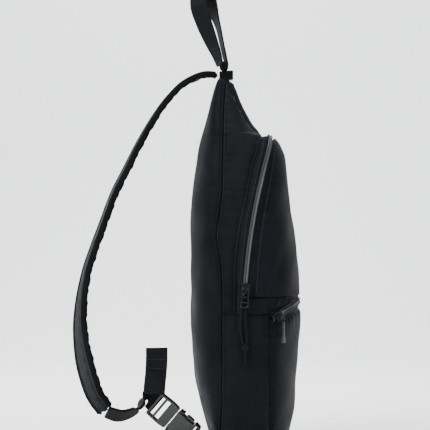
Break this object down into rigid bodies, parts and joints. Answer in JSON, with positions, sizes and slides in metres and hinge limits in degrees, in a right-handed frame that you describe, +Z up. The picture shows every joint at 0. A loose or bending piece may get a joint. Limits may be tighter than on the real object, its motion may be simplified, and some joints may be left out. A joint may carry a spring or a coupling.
{
  "type": "sling bag",
  "caption": "Teardrop single-strap sling bag with a zipped front flap, a zipped pocket, a padded strap with a buckle and a grab loop.",
  "frame": {"origin": "middle of the flat underside", "axes": "front faces -Y, wearer's back +Y, +Z up, X across"},
  "size_m": [0.2166, 0.2646, 0.5402],
  "materials": {
    "base_board": "stiff board covered in woven nylon",
    "shell_nylon": "woven nylon, matt",
    "back_mesh": "woven nylon, matt",
    "foam": "open foam under cloth",
    "lining": "plain woven lining",
    "zip_tape": "woven zip tape",
    "zip_coil": "nylon coil",
    "webbing": "woven webbing",
    "black_nickel": "black nickel plated zinc",
    "acetal": "moulded acetal",
    "cord": "braided cord"
  },
  "bodies": {
    "bag": {"bottom_panel": "base_board", "back_panel": "back_mesh", "back_foam": "foam", "top_panel": "shell_nylon", "gusset_left": "shell_nylon", "gusset_right": "shell_nylon", "side_lower_left": "shell_nylon", "side_lower_right": "shell_nylon", "main_tape_body": "zip_tape", "front_strip": "shell_nylon", "pocket_tape_upper": "zip_tape", "pocket_tape_lower": "zip_tape", "pocket_panel": "shell_nylon", "pocket_back_wall": "lining", "main_coil_body": "zip_coil", "pocket_coil_upper": "zip_coil", "pocket_coil_lower": "zip_coil", "main_stop_left": "black_nickel", "main_stop_right": "black_nickel", "pocket_stop_left": "black_nickel", "pocket_stop_right": "black_nickel", "apex_anchor": "webbing", "lower_tab": "webbing"},
    "flap": {"flap_panel": "shell_nylon", "main_tape_flap": "zip_tape", "main_coil_flap": "zip_coil"},
    "main_slider": {"main_slider_body": "black_nickel"},
    "main_pull": {"main_pull_ring": "black_nickel", "main_cord_rear": "cord", "main_cord_front": "cord", "main_pull_knot": "cord"},
    "pocket_slider": {"pocket_slider_body": "black_nickel"},
    "pocket_pull": {"pocket_pull_link": "black_nickel", "pocket_pull_tab": "acetal"},
    "loop": {"grab_loop": "webbing"},
    "strap": {"strap_outer": "shell_nylon", "strap_lining": "back_mesh", "buckle_male": "acetal", "buckle_female": "acetal", "strap_webbing": "webbing", "strap_tail": "webbing", "strap_lower_webbing": "webbing"},
    "buckle_prong_upper": {"prong_upper": "acetal"},
    "buckle_prong_lower": {"prong_lower": "acetal"}
  },
  "joints": [
    {"name": "flap_fold", "type": "hinge", "parent": "bag", "child": "flap", "pos_m": [0, -0.0576, 0.1815], "axis": [1, 0, 0], "range_deg": [0, 110]},
    {"name": "main_slider_travel", "type": "hinge", "parent": "bag", "child": "main_slider", "pos_m": [0.19886, -0.13574, 0.15519], "axis": [0.4338, 0.9007, 0.0234], "range_deg": [0, 19.52]},
    {"name": "main_pull_swing", "type": "hinge", "parent": "main_slider", "child": "main_pull", "pos_m": [-0.10661, 0.00755, 0.19351], "axis": [-0.0205, 0.9972, 0.0721], "range_deg": [0, 110]},
    {"name": "pocket_slider_travel", "type": "hinge", "parent": "bag", "child": "pocket_slider", "pos_m": [0, 0.06977, 0.11819], "axis": [0, 0.4128, 0.9108], "range_deg": [0, 78.72]},
    {"name": "pocket_pull_swing", "type": "hinge", "parent": "pocket_slider", "child": "pocket_pull", "pos_m": [-0.09259, -0.0339, 0.16289], "axis": [-0.7731, 0.5777, -0.2618], "range_deg": [0, 85]},
    {"name": "loop_tilt", "type": "hinge", "parent": "bag", "child": "loop", "pos_m": [0, 0.0305, 0.4488], "axis": [1, 0, 0], "range_deg": [-20, 55], "stiffness_Nm_per_rad": 0.02},
    {"name": "strap_swing", "type": "hinge", "parent": "bag", "child": "strap", "pos_m": [0, 0.038, 0.4386], "axis": [-0.1359, 0.0305, -0.9903], "range_deg": [-35, 35], "stiffness_Nm_per_rad": 0.04},
    {"name": "prong_upper_press", "type": "hinge", "parent": "strap", "child": "buckle_prong_upper", "pos_m": [-0.05087, 0.09448, 0.03689], "axis": [-0.9393, 0.262, -0.2214], "range_deg": [0, 6], "stiffness_Nm_per_rad": 0.3},
    {"name": "prong_lower_press", "type": "hinge", "parent": "strap", "child": "buckle_prong_lower", "pos_m": [-0.05695, 0.0838, 0.05004], "axis": [-0.9393, 0.262, -0.2214], "range_deg": [-6, 0], "stiffness_Nm_per_rad": 0.3}
  ]
}
